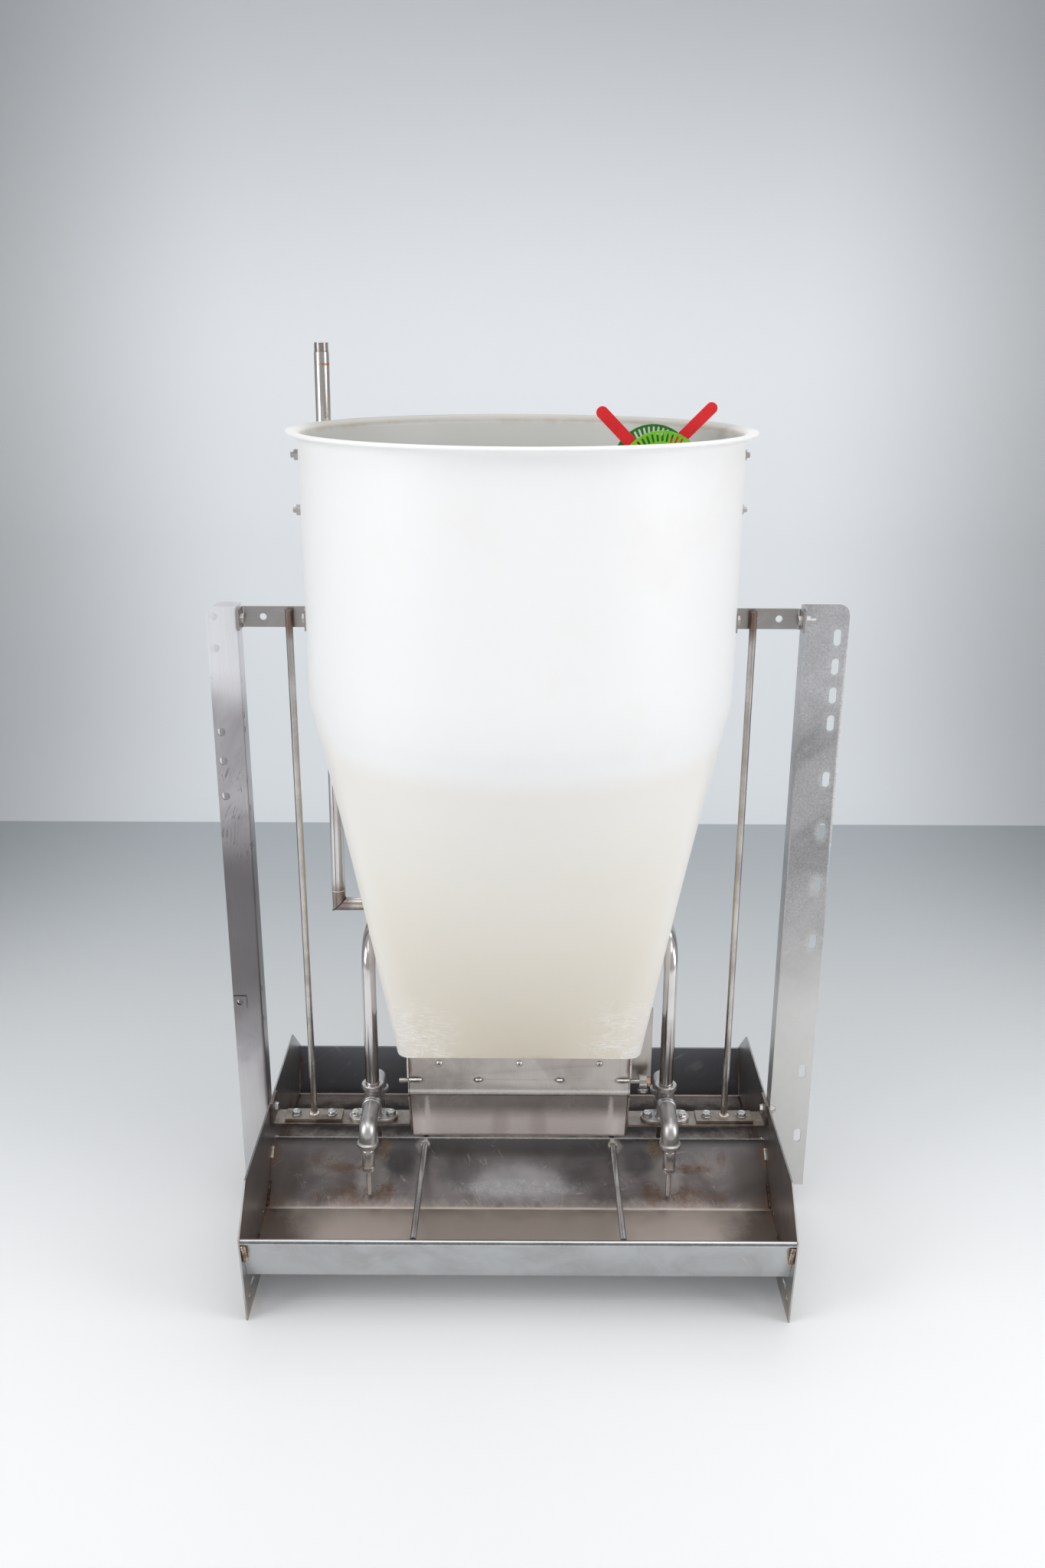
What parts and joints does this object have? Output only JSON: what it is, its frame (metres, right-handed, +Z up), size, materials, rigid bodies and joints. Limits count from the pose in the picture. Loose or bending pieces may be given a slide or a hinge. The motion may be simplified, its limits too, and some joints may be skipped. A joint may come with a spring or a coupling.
{
  "type": "livestock feeder",
  "caption": "Double-sided pig feeder: plastic hopper on a steel collar with swinging gates over a folded trough, with bite drinkers, water pipes, posts and lever adjusters.",
  "frame": {"origin": "middle of the outline seen from above, on the floor", "axes": "+X along the trough to the right, +Y to the back, +Z up"},
  "size_m": [0.892, 0.62, 1.3311],
  "materials": {
    "sheet_steel": "worn mill-finish stainless sheet with heat tint and feed stains",
    "post_steel": "dull scratched stainless sheet",
    "rod_steel": "drawn stainless bar, brown tint at the welds",
    "pipe_steel": "polished stainless tube and cast fittings",
    "bolt_steel": "bright stainless hexagon bolts",
    "hopper_plastic": "white polyethylene, cream where feed rubs it",
    "red_plastic": "glossy red plastic",
    "lime_plastic": "lime green plastic",
    "green_plastic": "dark green plastic"
  },
  "bodies": {
    "feeder": {"bar_bolt_left_1": "bolt_steel", "bar_bolt_left_2": "bolt_steel", "bar_bolt_left_3": "bolt_steel", "bar_bolt_left_4": "bolt_steel", "bar_bolt_right_1": "bolt_steel", "bar_bolt_right_2": "bolt_steel", "bar_bolt_right_3": "bolt_steel", "bar_bolt_right_4": "bolt_steel", "collar_end_left": "sheet_steel", "collar_end_right": "sheet_steel", "collar_front": "sheet_steel", "collar_rear": "sheet_steel", "cross_plate": "sheet_steel", "divider_rod_front_left": "rod_steel", "divider_rod_front_right": "rod_steel", "divider_rod_rear_left": "rod_steel", "divider_rod_rear_right": "rod_steel", "drinker_elbow_front_left": "pipe_steel", "drinker_elbow_front_right": "pipe_steel", "drinker_elbow_rear_left": "pipe_steel", "drinker_elbow_rear_right": "pipe_steel", "drinker_tee_left": "pipe_steel", "drinker_tee_right": "pipe_steel", "drop_pipe_left": "pipe_steel", "drop_pipe_right": "pipe_steel", "end_plate_left": "sheet_steel", "end_plate_right": "sheet_steel", "header_pipe": "pipe_steel", "hopper": "hopper_plastic", "index_disc_front": "lime_plastic", "index_disc_rear": "green_plastic", "inlet_pipe": "pipe_steel", "lever_pin": "bolt_steel", "nipple_body_front_left": "pipe_steel", "nipple_body_front_right": "pipe_steel", "nipple_body_rear_left": "pipe_steel", "nipple_body_rear_right": "pipe_steel", "post_bolt_left": "bolt_steel", "post_bolt_right": "bolt_steel", "post_left": "post_steel", "post_right": "post_steel", "stay_rod_left": "rod_steel", "stay_rod_right": "rod_steel", "support_bar_left": "sheet_steel", "support_bar_right": "sheet_steel", "top_strip_left": "rod_steel", "top_strip_right": "rod_steel", "trough_pan": "sheet_steel"},
    "front_lever": {"feed_lever_front": "red_plastic"},
    "front_gate": {"gate_front": "sheet_steel", "gate_shaft_front": "rod_steel"},
    "front_link": {"link_rod_front": "rod_steel"},
    "front_left_stem": {"nipple_stem_front_left": "pipe_steel"},
    "front_right_stem": {"nipple_stem_front_right": "pipe_steel"},
    "rear_lever": {"feed_lever_rear": "red_plastic"},
    "rear_gate": {"gate_rear": "sheet_steel", "gate_shaft_rear": "rod_steel"},
    "rear_link": {"link_rod_rear": "rod_steel"},
    "rear_left_stem": {"nipple_stem_rear_left": "pipe_steel"},
    "rear_right_stem": {"nipple_stem_rear_right": "pipe_steel"}
  },
  "joints": [
    {"name": "front_lever_swing", "type": "hinge", "parent": "feeder", "child": "front_lever", "pos_m": [0.16675, -0.05675, 1.172], "axis": [0, 1, 0], "range_deg": [0, 90]},
    {"name": "front_gate_swing", "type": "hinge", "parent": "feeder", "child": "front_gate", "pos_m": [-0.01325, -0.0732, 0.285], "axis": [1, 0, 0], "range_deg": [0, 27.01]},
    {"name": "front_link_lift", "type": "slide", "parent": "feeder", "child": "front_link", "axis": [0, 0, 1], "range_m": [0, 0.0283]},
    {"name": "front_left_stem_push", "type": "slide", "parent": "feeder", "child": "front_left_stem", "axis": [0, 0, 1], "range_m": [0, 0.004], "stiffness_N_per_m": 600, "springref_m": -0.002},
    {"name": "front_right_stem_push", "type": "slide", "parent": "feeder", "child": "front_right_stem", "axis": [0, 0, 1], "range_m": [0, 0.004], "stiffness_N_per_m": 600, "springref_m": -0.002},
    {"name": "rear_lever_swing", "type": "hinge", "parent": "feeder", "child": "rear_lever", "pos_m": [0.16675, 0.05675, 1.172], "axis": [0, -1, 0], "range_deg": [0, 90]},
    {"name": "rear_gate_swing", "type": "hinge", "parent": "feeder", "child": "rear_gate", "pos_m": [-0.01325, 0.0732, 0.285], "axis": [-1, 0, 0], "range_deg": [0, 27.01]},
    {"name": "rear_link_lift", "type": "slide", "parent": "feeder", "child": "rear_link", "axis": [0, 0, 1], "range_m": [0, 0.0283]},
    {"name": "rear_left_stem_push", "type": "slide", "parent": "feeder", "child": "rear_left_stem", "axis": [0, 0, 1], "range_m": [0, 0.004], "stiffness_N_per_m": 600, "springref_m": -0.002},
    {"name": "rear_right_stem_push", "type": "slide", "parent": "feeder", "child": "rear_right_stem", "axis": [0, 0, 1], "range_m": [0, 0.004], "stiffness_N_per_m": 600, "springref_m": -0.002}
  ],
  "couplings": [
    {"joint": "front_gate_swing", "follows": "front_lever_swing", "ratio": 0.3},
    {"joint": "front_link_lift", "follows": "front_lever_swing", "m_per_rad": 0.018006},
    {"joint": "rear_gate_swing", "follows": "rear_lever_swing", "ratio": 0.3},
    {"joint": "rear_link_lift", "follows": "rear_lever_swing", "m_per_rad": 0.018006}
  ]
}
